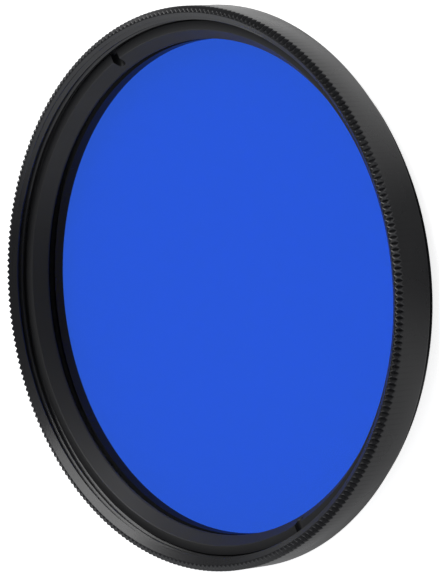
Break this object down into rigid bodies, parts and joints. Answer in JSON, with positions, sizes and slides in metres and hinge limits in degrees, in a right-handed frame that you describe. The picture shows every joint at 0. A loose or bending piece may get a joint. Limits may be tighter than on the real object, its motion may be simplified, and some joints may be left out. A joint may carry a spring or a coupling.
{
  "type": "screw-in lens filter",
  "caption": "Round blue glass filter in a thin black metal rim, threaded behind to screw onto a lens and in front for another filter, hood or cap.",
  "frame": {"origin": "on the optical axis, in the plane of the rear thread's end, which the filter lies on", "axes": "+Z along the optical axis towards the front of the filter; the retaining ring's two slots lie on +Y and -Y"},
  "size_m": [0.057, 0.057, 0.006],
  "materials": {
    "rim": "satin black anodised",
    "retaining_ring": "matt black anodised",
    "glass": "polished, dyed blue in the mass"
  },
  "bodies": {
    "root": {"rim": "rim", "retaining_ring": "retaining_ring", "glass_disc": "glass"}
  },
  "joints": []
}
